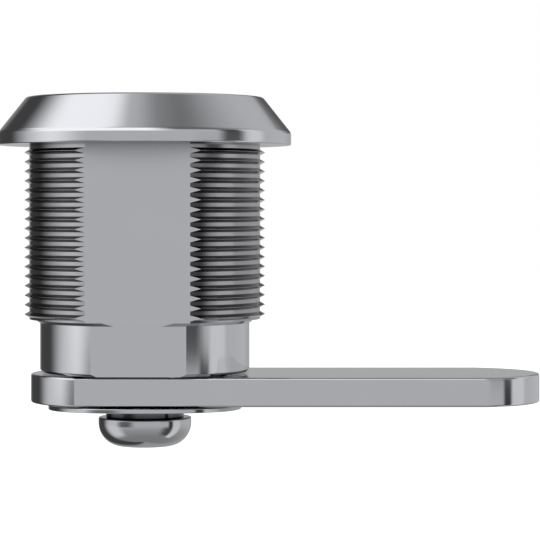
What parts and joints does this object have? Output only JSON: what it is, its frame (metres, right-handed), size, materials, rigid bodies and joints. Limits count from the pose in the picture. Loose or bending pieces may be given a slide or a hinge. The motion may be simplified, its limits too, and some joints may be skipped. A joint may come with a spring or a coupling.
{
  "type": "lever lock",
  "caption": "Quarter-turn lever lock: flanged round housing with two flats, a recessed triangular drive stud and a flat lever screwed to the spindle's square tail.",
  "frame": {"origin": "on the lock's axis, at the underside of the flange, where the panel's outer face lies", "axes": "+Z along the axis, out of the panel through the flange; +X along the lever at rest, towards its tip; the housing's flats face +Y and -Y"},
  "size_m": [0.0428, 0.0232, 0.0276],
  "materials": {
    "housing_chrome": "satin chromium plate on die-cast zinc",
    "spindle_steel": "nickel-plated steel",
    "seal_rubber": "moulded nitrile rubber",
    "thrust_bronze": "stamped bronze",
    "spring_steel": "bright zinc-plated spring steel",
    "lever_steel": "stamped steel, satin chromium plate",
    "washer_steel": "stamped spring steel, chromium plate",
    "screw_steel": "cold-headed steel, chromium plate"
  },
  "bodies": {
    "housing_body": {"housing": "housing_chrome", "thrust_washer": "thrust_bronze"},
    "lever_body": {"spindle": "spindle_steel", "spindle_seal": "seal_rubber", "disc_spring": "spring_steel", "retaining_ring": "spring_steel", "stop_washer": "lever_steel", "lever": "lever_steel", "cover_washer": "washer_steel", "lock_washer": "spring_steel", "lever_screw": "screw_steel"}
  },
  "joints": [
    {"name": "lever_turn", "type": "hinge", "parent": "housing_body", "child": "lever_body", "pos_m": [0, 0, 0], "axis": [0, 0, 1], "range_deg": [0, 90]}
  ]
}
